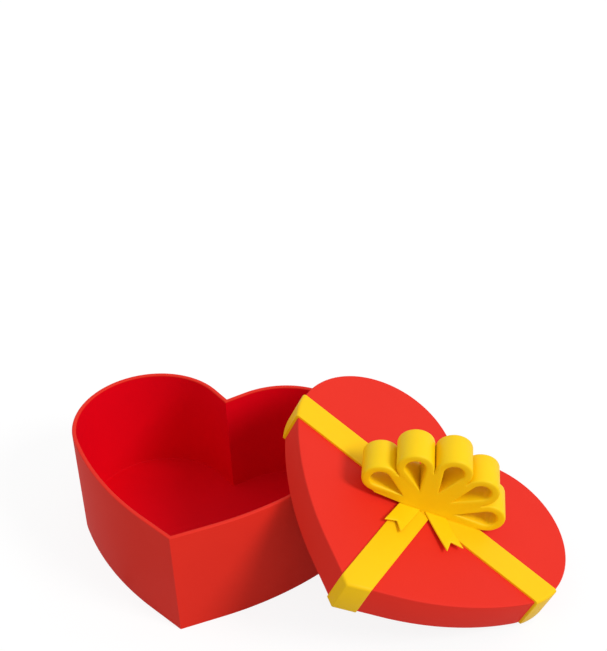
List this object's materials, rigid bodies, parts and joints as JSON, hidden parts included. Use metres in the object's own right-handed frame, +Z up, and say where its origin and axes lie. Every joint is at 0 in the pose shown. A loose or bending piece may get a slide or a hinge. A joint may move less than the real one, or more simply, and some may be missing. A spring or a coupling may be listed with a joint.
{
  "type": "gift box",
  "caption": "Open heart-shaped gift box of paper-covered board, its ribboned lid with a looped bow leaning on the rim.",
  "frame": {"origin": "middle of the base's underside, on the table", "axes": "+Z up, the heart's tip towards -Y and its cleft towards +Y; the lid leans on the +X side"},
  "size_m": [0.3433, 0.1852, 0.1228],
  "materials": {
    "box_board": "matte",
    "stay_paper": "matte",
    "lining_paper": "matte",
    "cover_paper": "smooth matte",
    "ribbon_satin": "smooth satin",
    "bow_satin": "smooth satin"
  },
  "bodies": {
    "base": {"base_floor_board": "box_board", "base_floor_lining": "lining_paper", "base_wall_left": "box_board", "base_wall_right": "box_board", "base_tip_stay": "stay_paper", "base_cleft_stay": "stay_paper", "base_lining_left": "lining_paper", "base_lining_right": "lining_paper", "base_wrap_left": "cover_paper", "base_wrap_right": "cover_paper"},
    "lid": {"lid_top_board": "box_board", "lid_top_lining": "lining_paper", "lid_top_cover": "cover_paper", "lid_skirt_left": "box_board", "lid_skirt_right": "box_board", "lid_tip_stay": "stay_paper", "lid_cleft_stay": "stay_paper", "lid_lining_left": "lining_paper", "lid_lining_right": "lining_paper", "lid_wrap_left": "cover_paper", "lid_wrap_right": "cover_paper", "ribbon_cross": "ribbon_satin", "ribbon_long_tip": "ribbon_satin", "ribbon_long_cleft": "ribbon_satin", "bow_loop_1": "bow_satin", "bow_loop_2": "bow_satin", "bow_loop_3": "bow_satin", "bow_loop_4": "bow_satin", "bow_loop_5": "bow_satin", "bow_tail_left": "bow_satin", "bow_tail_right": "bow_satin"}
  },
  "joints": [
    {"name": "lid_lift", "type": "slide", "parent": "base", "child": "lid", "axis": [0, 0, 1], "range_m": [0, 0.15]}
  ]
}
